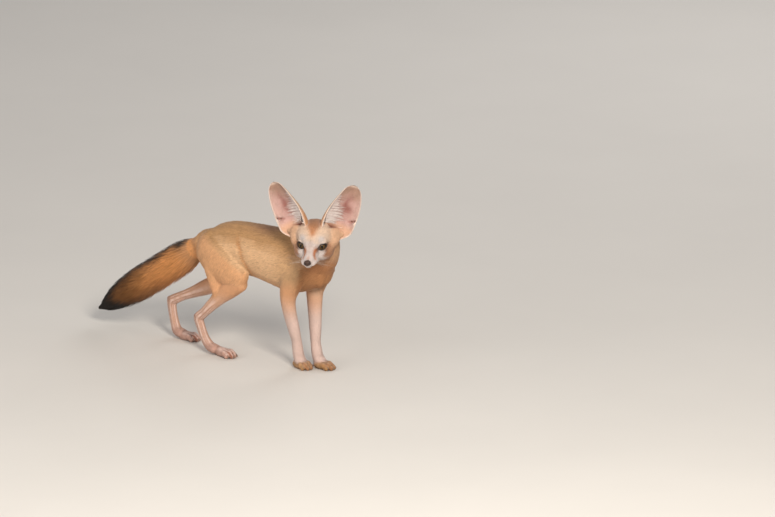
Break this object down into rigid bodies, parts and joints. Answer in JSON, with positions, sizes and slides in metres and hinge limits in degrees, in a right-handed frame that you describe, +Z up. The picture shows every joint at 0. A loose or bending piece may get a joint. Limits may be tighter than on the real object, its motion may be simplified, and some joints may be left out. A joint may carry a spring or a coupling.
{
  "type": "fennec fox",
  "caption": "Life-size still fennec fox standing on four paws with its head turned to the right, very large open ears and a bushy dark-tipped tail.",
  "frame": {"origin": "middle of the whole model seen from above, on the floor under the paws", "axes": "+X is the way the body faces, +Y is the fox's left, +Z is up"},
  "size_m": [0.5222, 0.136, 0.3177],
  "materials": {
    "fur_face": "short pale fur",
    "fur_ear": "thin fur over pink skin",
    "fur_coat": "dense sandy fur",
    "fur_leg": "short cream fur",
    "fur_tail": "long rufous fur with a dark tip",
    "eye": "wet gloss",
    "nose_leather": "moist grain"
  },
  "bodies": {
    "root": {"head": "fur_face", "left_ear": "fur_ear", "left_eye": "eye", "left_forefoot": "fur_leg", "left_foreleg": "fur_leg", "left_hind_foot": "fur_leg", "left_shank": "fur_leg", "left_thigh": "fur_leg", "lower_jaw": "fur_face", "neck": "fur_coat", "nose": "nose_leather", "right_ear": "fur_ear", "right_eye": "eye", "right_forefoot": "fur_leg", "right_foreleg": "fur_leg", "right_hind_foot": "fur_leg", "right_shank": "fur_leg", "right_thigh": "fur_leg", "tail": "fur_tail", "torso": "fur_coat"}
  },
  "joints": []
}
